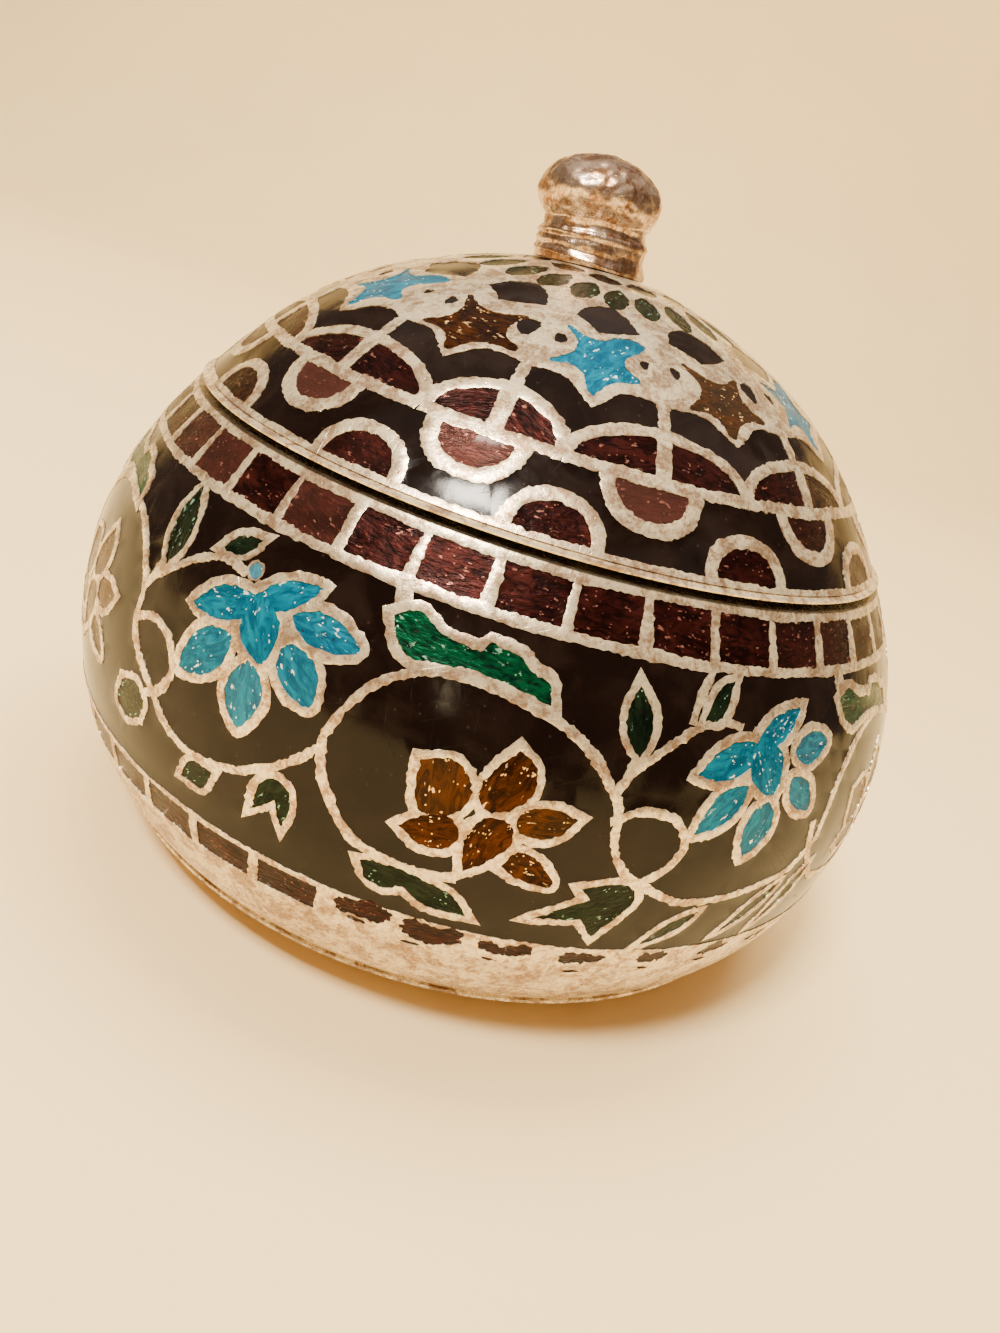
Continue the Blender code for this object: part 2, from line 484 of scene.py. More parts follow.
# The vine, as degrees and millimetres from the joint of the turquoise flower that it passes under
under_left = ((-12.9, -4.7), (-9.8, -5.5), (-5.5, -6.7), (-2.2, -7.0), (1.5, -6.8), (6.4, -6.0),
              (10.3, -4.8), (12.5, -3.9))
under_right = ((-12.3, -5.7), (-10.1, -6.1), (-4.9, -6.9), (0.3, -6.9), (5.8, -6.5), (11.5, -5.8),
               (14.7, -4.5))
over_amber = ((12.5, -3.9), (12.9, -2.9), (15.5, -0.9), (19.1, 0.2), (24.0, 0.6), (29.4, 0.4),
              (34.0, 0.0), (38.4, -0.9), (40.9, -1.9), (42.0, -2.4), (43.9, -4.8), (45.8, -5.7))


def vine(art, joints):
    """The stem that winds round the whole bowl, under the turquoise flowers and over the amber ones."""
    routes = [under_left, under_right]
    for index, joint in enumerate(joints):
        after = joints[(index + 1) % len(joints)]
        after = (after[0] + (360 if after[0] < joint[0] else 0), after[1])
        under = from_joint(joint, routes[index % 2])
        end = from_joint(after, routes[(index + 1) % 2])[0]
        art.line(under, vine_width)
        art.line(fitted(from_joint(joint, over_amber), under[-1], end), vine_width)


def stem_with_leaves(art, joint, left):
    """What stands to the left of a turquoise flower: a stem, an upright leaf, a smaller leaf near the
    band and a round loop under them."""
    at = lambda *offsets: from_joint(joint, offsets)
    stem = at((-16.2, -2.2), (-14.9, -1.3), (-12.9, -0.6), (-10.1, 0.3), (-6.4, 1.0), (-2.5, 0.9))
    art.line(stem, stem_width)
    art.line(at((-15.6, -1.7), (-15.0, -0.8), (-14.6, -0.3)), stem_width)
    if left:
        upright = (((-14.2, -0.7), (-12.9, 0.4), (-13.6, 1.7)),
                   ((-16.0, 2.9), (-16.8, 1.6), (-16.2, 0.4)))
        small = (((-7.4, 1.3), (-5.2, 1.35), (-3.5, 1.8)), ((-2.8, 2.4), (-4.5, 2.3), (-6.2, 2.0)))
    else:
        upright = (((-14.7, -0.7), (-13.8, 0.5), (-14.4, 1.2)),
                   ((-16.1, 2.0), (-16.9, 1.1), (-16.6, 0.1)))
        small = (((-7.7, 1.0), (-5.9, 1.1), (-4.7, 1.8)), ((-4.2, 2.7), (-5.8, 2.5), (-7.0, 1.9)))
        art.line(at((-9.3, 0.8), (-8.6, 2.0), (-7.2, 3.2)), 0.34)
        art.line(at((-4.4, 2.4), (-3.6, 3.3)), 0.5)
    dark_leaf(art, at, *upright)
    dark_leaf(art, at, *small)
    loop = at((-16.0, -3.4), (-12.3, -2.8), (-8.4, -3.2), (-6.9, -4.2), (-8.2, -5.3), (-10.6, -6.0))
    art.line(loop, loop_width)


def amber_and_leaves(art, joint):
    """What is between two turquoise flowers: the amber flower and the big serrated leaf over it."""
    at = lambda *offsets: from_joint(joint, offsets)
    amber_flower(art, at((30.1, -3.9))[0])
    branch = at((12.6, -3.5), (13.2, -4.6), (15.3, -5.9), (18.2, -7.0), (22.5, -7.4), (26.5, -7.4),
                (29.0, -7.2))
    art.line(branch, branch_width)
    art.cell_through("green", serrated(at), big_leaf_rim, bright_leaf)
    art.line(at((15.6, 2.2), (14.6, 3.3)), 0.7)


def serrated(at):
    """The big leaf: a smooth lower edge, and an upper one with a tooth in it."""
    return [
        at((15.0, 1.9), (16.7, 0.9)),
        at((18.8, 0.55), (24.0, 0.95), (29.0, 0.8)),
        at((33.0, 0.5), (32.3, 1.3)),
        at((30.0, 1.6), (28.6, 1.95)),
        at((25.5, 2.1)),
        at((24.6, 1.7), (20.5, 1.85), (17.0, 2.3)),
    ]


def dark_leaf(art, at, *sections):
    """A leaf of the dark green glass."""
    art.cell_through("green", [at(*section) for section in sections], leaf_rim, hand.uniform(*dull_leaf))


def leaves_under_left(art, joint):
    """The low leaves under a turquoise flower of the first kind."""
    at = lambda *offsets: from_joint(joint, offsets)
    dark_leaf(art, at, ((-15.4, -6.3), (-12.2, -5.9), (-10.5, -6.4)),
              ((-10.9, -7.3), (-13.4, -7.8), (-16.0, -7.5)))
    dark_leaf(art, at, ((-2.8, -8.3), (-1.9, -7.4)), ((1.5, -7.2), (0.4, -8.2)))
    dark_leaf(art, at, ((6.8, -7.8), (7.4, -6.4), (8.9, -5.9), (10.4, -6.1), (11.1, -7.0)),
              ((10.6, -7.9),), ((9.3, -6.9),))
    dark_leaf(art, at, ((19.4, -7.8), (20.6, -8.6)), ((22.4, -8.8),), ((24.3, -8.4), (27.1, -9.0)),
              ((31.4, -9.0), (29.6, -8.2), (25.5, -7.7), (21.0, -7.6)))


def leaves_under_right(art, joint):
    """The low leaves under a turquoise flower of the second kind."""
    at = lambda *offsets: from_joint(joint, offsets)
    dark_leaf(art, at, ((-16.5, -6.5), (-14.1, -6.2), (-11.6, -6.1), (-10.1, -6.8), (-11.0, -7.6)),
              ((-13.0, -9.0),), ((-15.2, -8.1),), ((-20.4, -8.4), (-16.3, -7.3)), ((-15.2, -7.0),))
    blades = (((-1.2, -7.5), (-7.0, -9.5)), ((10.5, -6.6), (3.8, -9.1)), ((16.0, -6.0), (10.0, -9.2)))
    for base, tip in blades:
        about = at(base)[0]
        flat = art.surface.to_flat(at(tip), about)[0]
        blade = leaf((0, 0), flat, blade_half_width)
        art.cells("green", [blade], about, blade_rim, hand.uniform(*dull_leaf))


def draw_bowl():
    """All of the ornament on the bowl."""
    art = Ornament(bowl_surface)
    art.region("black", upper_band_foot)
    art.region("silver", lower_band_top)
    azimuths = [first_joint, second_joint] + [second_joint + joint_pitch * step for step in range(1, 5)]
    joints = [(azimuth, joint_run) for azimuth in azimuths]
    vine(art, joints)
    for index, joint in enumerate(joints):
        left = index % 2 == 0
        stem_with_leaves(art, joint, left)
        turquoise_flower(art, joint, turquoise_left if left else turquoise_right)
        amber_and_leaves(art, joint)
        if left:
            leaves_under_left(art, joint)
        else:
            leaves_under_right(art, joint)
    band_of_cells(art, upper_band, upper_band_cells, upper_band_start, (0.2, 0.8))
    band_of_cells(art, lower_band, lower_band_cells, lower_band_start, (0.0, 0.5), lower_band_worn)
    return art


# Stars, corner after corner, to the right and upwards of their middle; rounding shortens the tips
star_outlines = {
    "turquoise": (
        (-2.01, 2.12), (-0.35, 1.12), (0.8, 2.31), (2.15, 1.99), (0.64, 0.24), (2.22, -0.66),
        (0.46, -0.98), (-0.06, -2.6), (-0.81, -0.55), (-2.51, -1.18), (-0.77, 0.38),
    ),
    "amber": (
        (-2.6, -1.4), (-0.85, -0.12), (-1.9, 1.95), (-0.04, 0.55), (1.85, 1.8),
        (1.0, -0.08), (2.9, -1.15), (0.66, -1.1), (-0.17, -2.7), (-0.82, -1.15),
    ),
}


def rounded(points, rounds):
    """A closed outline with its corners cut off again and again, until they are round."""
    points = np.asarray(points, float)
    for _ in range(rounds):
        after = np.roll(points, -1, axis=0)
        points = np.stack([points * 0.75 + after * 0.25, points * 0.25 + after * 0.75], 1).reshape(-1, 2)
    return smooth_curve(np.concatenate([points, points[:1]]), edge_step)[:-1]


def half_discs(art, left, divider, right):
    """A scallop between two azimuths: a half disc cut in two by the divider, and a rounded cell that
    hangs under it."""
    centre, half = (left + right) / 2, (right - left) / 2
    wide = math.radians(half) * art.surface.radius_at(scallop_foot)
    about = (centre, scallop_foot)
    art.silver(arch(wide + scallop_line * 0.6, scallop_rise, 0.0, 1.75), about)
    art.line([(left, scallop_foot), (centre, scallop_foot + 0.03), (right, scallop_foot)], scallop_line)
    outer = arch(wide - scallop_line * 0.8, scallop_rise - scallop_line * 1.5, scallop_line / 2, 1.75)
    cut = math.radians(divider - centre) * art.surface.radius_at(scallop_foot + 1)
    gap = divider_line / 2
    for side in (-1, 1):
        kept = outer[(outer[:, 0] - cut) * side > gap]
        first = np.argmax(np.hypot(*(kept - np.roll(kept, 1, axis=0)).T))
        kept = np.roll(kept, -first, axis=0)
        edge = smooth_curve([kept[-1], kept[0]], edge_step)[1:-1]
        art.hole("maroon", np.concatenate([kept, edge]), about, hand.uniform(0.0, 0.5))
    about = (divider + pendant_shift, scallop_foot)
    art.silver(arch(pendant_half_width, -pendant_depth, 0.0, 2.3), about)
    cell_foot = scallop_line * 0.55
    cell_rise = -pendant_depth + pendant_tip + cell_foot
    cell = arch(pendant_half_width - pendant_side, cell_rise, -cell_foot, 2.1)
    art.hole("maroon", cell, about, hand.uniform(0.35, 1.0))


def star_panel(art, kind, left, right):
    """Silver between two dividers with a star of enamel, small black holes and a black lens over it."""
    centre = (left + right) / 2
    half = (right - left) / 2
    at = lambda *offsets: [(centre + share * half, run) for share, run in offsets]
    panel = [
        at((-1.0, panel_foot), (-0.45, panel_foot + 0.05), (-0.18, 7.55)),
        at((0.0, 7.05), (0.2, 7.65), (0.3, panel_foot - 0.1), (0.55, panel_foot + 0.2)),
        at((1.0, panel_foot)),
        at((1.0, panel_top), (0.0, panel_top + 0.5)),
        at((-1.0, panel_top)),
    ]
    art.silver(art.outline(panel), panel[0][0])
    art.hole(kind, rounded(star_outlines[kind], 2), (centre, star_height), hand.uniform(0.3, 0.7))
    lens = [
        at((-0.68, 12.65), (-0.35, 12.2)),
        at((-0.12, 11.65), (0.3, 12.1)),
        at((0.7, 12.6), (0.5, 13.7), (0.0, 14.35), (-0.5, 13.7)),
    ]
    art.hole("black", art.outline(lens), lens[0][0])
    for side, size in ((1, 1.0 if kind == "amber" else 0.4), (-1, 0.55)):
        hole = np.array([(0.0, -0.75), (0.42, 0.7), (-0.2, 0.85), (-0.75, 0.3)]) * size
        hole[:, 0] *= side
        art.hole("black", rounded(hole, 1), (centre + side * 0.76 * half, hole_height))


def leaves_round_knob(art, left, right):
    """Between two dividers: two green leaves that lean to one side, and a black one over them."""
    low, high = leaf_ring
    run = (low + high) / 2
    tip = math.radians(1.5) * art.surface.radius_at(run)
    wide = math.radians(5.8) * art.surface.radius_at(run)
    for part in (0.1, 0.6):
        flat = leaf((-tip, low - run), (tip, high - run), wide, 0.45, 0.7, 0.8)
        art.hole("green", flat, (left + (right - left) * part, run), hand.uniform(0.0, 0.5))
    low, high = top_ring
    wide = math.radians(10.5) * art.surface.radius_at(low)
    flat = leaf((-wide, -0.1), (wide, 0.1), (high - low) / 2, 0.5, 0.7, 0.7)
    art.hole("black", flat, (left + 9, (low + high) / 2))


def draw_lid():
    """All of the ornament on the lid: repeats that are uneven at the front and even round the back."""
    art = Ornament(lid_surface)
    art.region("black", border_top)
    art.region("silver", top_foot)
    back = range(1, repeats - len(front_edges) + 1)
    edges = list(front_edges) + [front_edges[-1] + back_pitch * step for step in back]
    last = len(front_dividers)
    dividers = list(front_dividers) + [(a + b) / 2 for a, b in zip(edges[last:], edges[last + 1:])]
    dividers.append((edges[-1] + edges[0] + 360) / 2)
    edges.append(edges[0] + 360)
    dividers.append(dividers[0] + 360)
    for index in range(repeats):
        half_discs(art, edges[index], dividers[index], edges[index + 1])
        art.line([(dividers[index], scallop_foot), (dividers[index], top_foot + 0.3)], divider_line)
        kind = ("amber", "turquoise")[index % 2]
        star_panel(art, kind, dividers[index], dividers[index + 1])
        centre = edges[index + 1] + arch_shifts[min(index, 2)]
        about = (centre, border_top - arch_sunk)
        art.silver(arch(arch_half_width, arch_rise, 0.0, 2.15), about)
        inner = arch(arch_half_width - arch_line, arch_rise - arch_line - 0.1, arch_sunk, 2.15)
        art.hole("maroon", inner, about, hand.uniform(0.3, 0.9))
        leaves_round_knob(art, dividers[index], dividers[index + 1])
    return art


bowl_surface = TurnedSurface(*bowl_curve(), belly_height, False)
lid_surface = TurnedSurface(*dome_curve(), mouth_height, True)

kinds = ("silver", "black", "maroon", "turquoise", "amber", "green")
ring_steps = 240               # points round the box
ring_flatness = math.cos(math.pi / ring_steps)      # least radius of a ring, as a share of the full one
grid_step = 0.85               # spacing of the points that keep plain parts round
cell_floor = 0.35              # how deep the cells are cut into the silver
glass_sink = 0.035             # how far the glass stays under the silver
glass_floor = 0.34
edge_lean = 9                  # degrees that the silver's edges are rounded over
glass_lean = 5                 # and that the glass rises to meet them


def ring_places(run):
    return np.stack([np.arange(ring_steps) * 360 / ring_steps, np.full(ring_steps, run)], 1)


def plain_places(surface, low, high):
    """Points spread over the surface between two runs."""
    rings = []
    count = int((high - low) / grid_step)
    for index in range(1, count):
        run = low + (high - low) * index / count
        steps = max(6, int(2 * math.pi * surface.radius_at(run) / grid_step))
        azimuth = (np.arange(steps) + index % 2 * 0.5) * 360 / steps
        rings.append(np.stack([azimuth, np.full(steps, run)], 1))
    return np.concatenate(rings)


def wound(points, loop):
    """Whether the points are inside a closed flat outline that may cross itself."""
    x, y = points[:, :1], points[:, 1:]
    ax, ay = loop.T
    bx, by = np.roll(loop, -1, axis=0).T
    side = (bx - ax) * (y - ay) - (x - ax) * (by - ay)
    up = (ay <= y) & (by > y) & (side > 0)
    down = (ay > y) & (by <= y) & (side < 0)
    return up.sum(1) != down.sum(1)


def triangulated(loops, loose):
    """Flat triangles that keep the edges of closed loops; loose is a list of further points."""
    edges = []
    start = 0
    for loop in loops:
        index = np.arange(start, start + len(loop))
        edges.append(np.stack([index, np.roll(index, -1)], 1))
        start += len(loop)
    points = [Vector(point) for point in np.concatenate(loops + loose).tolist()]
    result = delaunay_2d_cdt(points, np.concatenate(edges).tolist(), [], 0, 1e-7, True)
    return np.array([tuple(point) for point in result[0]]), np.array(result[2])


class Cut:
    """The ornament cut into triangles, each of one kind."""

    def __init__(self, art, low, high):
        surface = art.surface
        self.surface = surface
        self.shapes = sorted(art.shapes, key=lambda shape: shape["layer"])
        closed_above = surface.inwards < 0
        rings = [ring_places(low)] if closed_above else [ring_places(low), ring_places(high)]
        loops = [surface.to_disc(loop) for loop in rings + [shape["places"] for shape in self.shapes]]
        loose = [surface.to_disc(plain_places(surface, low, high))]
        if closed_above:
            loose.append(np.zeros((1, 2)))
        flat, triangles = triangulated(loops, loose)
        centre = flat[triangles].mean(1)
        out = np.hypot(*centre.T)
        inner, outer = sorted(np.hypot(*surface.to_disc(np.array([[0.0, low], [0.0, high]])).T))
        kept = (out > inner * ring_flatness) & (out < outer * ring_flatness)
        self.places = surface.from_disc(flat)
        self.triangles = self.facing_out(triangles[kept])
        self.find_kinds(centre[kept], loops[len(rings):])
        self.rings = [np.array([np.argmin(((flat - point) ** 2).sum(1)) for point in loop])
                      for loop in loops[:len(rings)]]
        self.find_neighbours()

    def facing_out(self, triangles):
        """The triangles with their corners in the order that makes them face outwards."""
        corners = self.surface.points_at(self.places, 0.0)
        a, b, c = (corners[triangles[:, i]] for i in range(3))
        normals = self.surface.normal_at(self.places[triangles[:, 0]])
        wrong = np.einsum("ij,ij->i", np.cross(b - a, c - a), normals) < 0
        triangles[wrong] = triangles[wrong][:, ::-1]
        return triangles

    def find_kinds(self, centre, loops):
        """The kind and shape of every triangle: those of the last shape that its centre is in."""
        azimuth, run = self.surface.from_disc(centre).T
        self.kind = np.zeros(len(centre), int)
        self.shape = np.full(len(centre), -1)
        for index, (shape, loop) in enumerate(zip(self.shapes, loops)):
            if shape["layer"] == 0:
                edge = np.interp(azimuth % 360, *shape["places"].T, period=360)
                chosen = np.flatnonzero((run - edge) * self.surface.inwards < 0)
            else:
                near = np.all((centre > loop.min(0)) & (centre < loop.max(0)), 1)
                chosen = np.flatnonzero(near)
                chosen = chosen[wound(centre[chosen], loop)]
            self.kind[chosen] = kinds.index(shape["kind"])
            self.shape[chosen] = index

    def find_neighbours(self):
        """Every triangle's three edges, and the kind on the other side of each."""
        count = len(self.places)
        start = self.triangles.reshape(-1)
        end = np.roll(self.triangles, -1, axis=1).reshape(-1)
        own = start * count + end
        order = np.argsort(own)
        other = end * count + start
        found = np.clip(np.searchsorted(own[order], other), 0, len(own) - 1)
        match = own[order][found] == other
        self.edges = np.stack([start, end], 1)
        self.edge_kind = np.repeat(self.kind, 3)
        self.beyond = np.where(match, self.edge_kind[order][found], -1)

    def leaning_normals(self, chosen, angle):
        """Normals of the places, leaning outwards over the edges of the chosen triangles."""
        normals = self.surface.normal_at(self.places)
        corners = self.surface.points_at(self.places, 0.0)
        edge = np.isin(self.edge_kind, chosen) & ~np.isin(self.beyond, chosen) & (self.beyond >= 0)
        start, end = self.edges[edge].T
        along = corners[end] - corners[start]
        across = np.cross(along, normals[start])
        lean = np.zeros_like(normals)
        np.add.at(lean, start, across)
        np.add.at(lean, end, across)
        size = np.linalg.norm(lean, axis=1)
        touched = size > 1e-9
        lean[touched] /= size[touched][:, None]
        normals[touched] += lean[touched] * math.tan(math.radians(angle))
        return normals / np.linalg.norm(normals, axis=1)[:, None]


def placed(name, data):
    """A new object in the scene."""
    thing = bpy.data.objects.new(name, data)
    bpy.context.scene.collection.objects.link(thing)
    return thing


def faces_between(lower, upper):
    """Faces that join two rings of points, one of which may be a single point."""
    if len(lower) == 1:
        return np.stack([np.repeat(lower, len(upper)), np.roll(upper, -1), upper], 1)
    if len(upper) == 1:
        return np.stack([lower, np.roll(lower, -1), np.repeat(upper, len(lower))], 1)
    return np.stack([lower, np.roll(lower, -1), np.roll(upper, -1), upper], 1)


class Builder:
    """Collects points and faces with their normals, then makes one piece of them."""

    def __init__(self):
        self.points = []
        self.count = 0
        self.parts = []

    def add_points(self, points):
        first = self.count
        self.points.append(points)
        self.count += len(points)
        return first

    def add_faces(self, corners, normals=None, cell=None, tint=None):
        """corners: an array of faces; normals: one for each corner, or none for flat faces."""
        if len(corners) == 0:
            return
        if normals is None:
            points = np.concatenate(self.points)[corners]
            normal = np.cross(points[:, 2] - points[:, 0], points[:, -1] - points[:, 1])
            if corners.shape[1] == 3:
                normal = np.cross(points[:, 1] - points[:, 0], points[:, 2] - points[:, 0])
            normal /= np.maximum(np.linalg.norm(normal, axis=1), 1e-12)[:, None]
            normals = np.repeat(normal[:, None], corners.shape[1], axis=1)
        if cell is None:
            cell = np.zeros(corners.shape + (2,))
            tint = np.zeros(len(corners))
        tints = np.repeat(np.stack([tint, np.zeros(len(tint))], 1)[:, None], corners.shape[1], axis=1)
        self.parts.append((corners, normals, cell, tints))

    def make(self, name, slot, material, maps=False):
        points = np.concatenate(self.points)
        used = np.unique(np.concatenate([part[0].reshape(-1) for part in self.parts]))
        renumber = np.zeros(len(points), int)
        renumber[used] = np.arange(len(used))
        loops = renumber[np.concatenate([part[0].reshape(-1) for part in self.parts])]
        sizes = np.concatenate([np.full(len(part[0]), part[0].shape[1]) for part in self.parts])
        mesh = bpy.data.meshes.new(name)
        mesh.vertices.add(len(used))
        mesh.vertices.foreach_set("co", (points[used] * MM).astype(np.float32).reshape(-1))
        mesh.loops.add(len(loops))
        mesh.loops.foreach_set("vertex_index", loops.astype(np.int32))
        mesh.polygons.add(len(sizes))
        starts = np.concatenate([[0], np.cumsum(sizes)[:-1]])
        mesh.polygons.foreach_set("loop_start", starts.astype(np.int32))
        mesh.update(calc_edges=True)
        mesh.polygons.foreach_set("use_smooth", np.ones(len(sizes), bool))
        if maps:
            for layer, column in (("Cell", 2), ("Tint", 3)):
                values = np.concatenate([part[column].reshape(-1, 2) for part in self.parts])
                uv_map = mesh.uv_layers.new(name=layer)
                uv_map.data.foreach_set("uv", values.astype(np.float32).reshape(-1))
        normals = np.concatenate([part[1].reshape(-1, 3) for part in self.parts])
        mesh.normals_split_custom_set(normals.tolist())
        mesh.materials.append(material)
        piece = placed(name, mesh)
        return piece

    def turn(self, outline, first_ring=None, last_ring=None):
        """Spin an outline about Z. It runs up the outside or down the inside; the ring before or after
        it may be one that is there already."""
        outline = np.asarray(outline, float)
        steps = np.diff(outline, axis=0)
        slopes = np.stack([steps[:, 1], -steps[:, 0]], 1)
        slopes /= np.hypot(*slopes.T)[:, None]
        circle = np.stack(around(np.arange(ring_steps) * 360 / ring_steps, 1.0), 1)
        rings = []
        for index, (radius, height) in enumerate(outline):
            if index == 0 and first_ring is not None:
                rings.append(first_ring)
            elif index == len(outline) - 1 and last_ring is not None:
                rings.append(last_ring)
            elif radius < 1e-9:
                rings.append(np.array([self.add_points(np.array([[0.0, 0.0, height]]))]))
            else:
                points = np.column_stack([circle * radius, np.full(ring_steps, height)])
                rings.append(self.add_points(points) + np.arange(ring_steps))
        for index in range(len(outline) - 1):
            ends = []
            for neighbour in (index - 1, index + 1):
                slope = slopes[index]
                if 0 <= neighbour < len(slopes) and slopes[neighbour] @ slope > 0.8:
                    slope = slope + slopes[neighbour]
                    slope = slope / np.hypot(*slope)
                ends.append(np.column_stack([circle * slope[0], np.full(ring_steps, slope[1])]))
            low, high = ends
            normals = [low, np.roll(low, -1, axis=0), np.roll(high, -1, axis=0), high]
            if len(rings[index]) == 1:
                del normals[1]
            elif len(rings[index + 1]) == 1:
                del normals[2]
            self.add_faces(faces_between(rings[index], rings[index + 1]), np.stack(normals, 1))


def silver_shell(cut, outline_before, outline_after):
    """The silver of a turned piece: the drawn surface with its cells cut in, and the plain rest."""
    build = Builder()
    top = build.add_points(cut.surface.points_at(cut.places, 0.0))
    floor = build.add_points(cut.surface.points_at(cut.places, cell_floor))
    silver = cut.kind == 0
    normals = cut.leaning_normals([0], edge_lean)
    build.add_faces(cut.triangles[silver] + top, normals[cut.triangles[silver]])
    build.add_faces(cut.triangles[~silver] + floor)
    wall = (cut.edge_kind == 0) & (cut.beyond > 0)
    start, end = cut.edges[wall].T
    build.add_faces(np.stack([end + top, start + top, start + floor, end + floor], 1))
    build.turn(outline_before, last_ring=cut.rings[0] + top)
    if outline_after is not None:
        build.turn(outline_after, first_ring=cut.rings[-1] + top)
    return build


def glass_slabs(cut, kind):
    """All the enamel of one colour: a slab in every cell."""
    number = kinds.index(kind)
    chosen = cut.kind == number
    if not chosen.any():
        return None
    build = Builder()
    top = build.add_points(cut.surface.points_at(cut.places, glass_sink))
    floor = build.add_points(cut.surface.points_at(cut.places, glass_floor))
    triangles = cut.triangles[chosen]
    cell = np.zeros(triangles.shape + (2,))
    tint = np.zeros(len(triangles))
    shape_of = cut.shape[chosen]
    for index in np.unique(shape_of):
        shape = cut.shapes[index]
        part = shape_of == index
        places = cut.places[triangles[part].reshape(-1)]
        flat = turned(cut.surface.to_flat(places, shape["about"]), -shape["heading"])
        flat = flat + hand.uniform(0, 40, 2)
        cell[part] = flat.reshape(-1, 3, 2)
        tint[part] = shape["tint"]
    normals = cut.leaning_normals([number], -glass_lean)
    build.add_faces(triangles + top, normals[triangles], cell, tint)
    build.add_faces(triangles[:, ::-1] + floor, None, cell[:, ::-1], tint)
    wall = (cut.edge_kind == number) & (cut.beyond != number)
    start, end = cut.edges[wall].T
    build.add_faces(np.stack([end + top, start + top, start + floor, end + floor], 1))
    return build


# The rest of the turned outlines, in millimetres
seat_thickness = 1.1
bowl_wall = 1.0
lid_wall = 0.9
flange_rise = 1.4
flange_wall = 0.7
flange_gap = 0.3
flange_chamfer = 0.12
foot_ring = 0.7                # the flat ring it stands on, round the hollow of the underside
foot_ring_slope = 0.5
foot_hollow = 0.25
plate_overhang = 0.15
plate_edge_width = 0.7
plate_corner = 0.16            # how far its edge is rounded at both corners
lip_height = 0.22
lip_overhang = 0.09
groove_depth = 0.12


def inset(points, distance):
    """An outline that runs upwards moved inwards."""
    along = np.gradient(points, axis=0)
    along /= np.hypot(*along.T)[:, None]
    return points + distance * np.stack([-along[:, 1], along[:, 0]], 1)


def bowl_outlines():
    """Under the drawn part: underside, foot and plate edge. Over it: ledge, flange and inside."""
    foot = foot_curve(60)
    shoulder = shoulder_curve(40)
    low = plate_top - plate_edge_width
    at = lambda level: np.interp(level, foot[:, 1], foot[:, 0])
    hollow = foot_radius - foot_ring - foot_ring_slope
    before = [(0.0, foot_hollow), (hollow, foot_hollow), (foot_radius - foot_ring, 0.0)]
    before += [(at(level), level) for level in np.linspace(0.0, low, 10)]
    before += [(at(low) + plate_overhang * 0.7, low + 0.05),
               (at(low) + plate_overhang, low + plate_corner),
               (at(plate_top) + plate_overhang, plate_top - plate_corner),
               (at(plate_top) + plate_overhang * 0.7, plate_top - 0.05),
               (at(plate_top), plate_top)]
    bore = lid_inside_radius(mouth_height + flange_rise + flange_gap)
    outside, inside = bore - flange_gap, bore - flange_gap - flange_wall
    top = mouth_height + flange_rise
    seat = mouth_height - seat_thickness
    after = [(mouth_radius, mouth_height), (outside, mouth_height),
             (outside, top - flange_chamfer), (outside - flange_chamfer, top),
             (inside + flange_chamfer, top), (inside, top - flange_chamfer), (inside, seat)]
    cavity = inset(np.concatenate([foot, shoulder]), bowl_wall)
    cavity = cavity[(cavity[:, 1] < seat) & (cavity[:, 1] > bowl_wall)]
    ledge = np.interp(seat, *inset(shoulder, bowl_wall).T[::-1])
    after += [(ledge, seat)] + cavity[::-2].tolist() + [(foot_radius, bowl_wall), (0.0, bowl_wall)]
    return before, after


def lid_inside():
    """The inside of the lid from its edge to the middle."""
    radius = mouth_radius * np.cos(np.linspace(0, math.pi / 2, 60))
    inside = inset(np.stack([radius, dome_level(radius)], 1), lid_wall)
    inside[-1] = (0.0, float(dome_level(0.0)) - lid_wall)
    return inside


def lid_inside_radius(height):
    inside = lid_inside()
    return np.interp(height, inside[:, 1], inside[:, 0])


def lid_outline(surface, start):
    """From the middle of the inside down to the edge, round the lip and groove, up to the drawn part."""
    seat = mouth_height + flange_rise + flange_gap
    inside = lid_inside()
    inside = inside[inside[:, 1] > seat]
    bottom = mouth_height + lid_bottom
    outside = lambda height: np.interp(height, surface.height, surface.radius)
    bore = lid_inside_radius(seat)
    lip_top = bottom + lip_height
    drawn = float(surface.height_at(start))
    groove = (lip_top + drawn) / 2
    return inside[::-1].tolist() + [
        (bore, seat),
        (bore, bottom),
        (outside(bottom) - 0.05, bottom),
        (outside(bottom) + lip_overhang * 0.8, bottom + 0.05),
        (outside(bottom) + lip_overhang, bottom + 0.13),
        (outside(lip_top) + lip_overhang * 0.7, lip_top - 0.03),
        (outside(lip_top) - 0.02, lip_top),
        (outside(groove) - groove_depth, groove),
        (outside(drawn), drawn),
    ]


# Knob, in millimetres
knob_base = 32.75              # it sits on the flat middle of the lid
solder_radius = 3.0
collar_radius = 2.85
collar_top = 34.12
waist_radius = 2.65
waist_top = 34.72
head_radius = 3.18
head_rise = 2.0                # half the height of its flattened head
knob_offset = 1.1
knob_lean = 7.5                # degrees, sideways
neck_tilt = 5.5                # degrees that the rings of its neck slope down to the left
knob_steps = 160
cast_lumps = 0.08              # how rough it is as cast: broad lumps all over
neck_lumps = 0.09              # flat ones on the neck
head_grain = 0.03
head_dents = 0.09
pit_depth = 0.12
pit_width = 0.07               # as a share of the head's radius
pit_direction = Vector((-0.50, -0.66, 0.56)).normalized()
cast_shrink = 0.06             # taken off everywhere, so that the lumps don't stand out too far


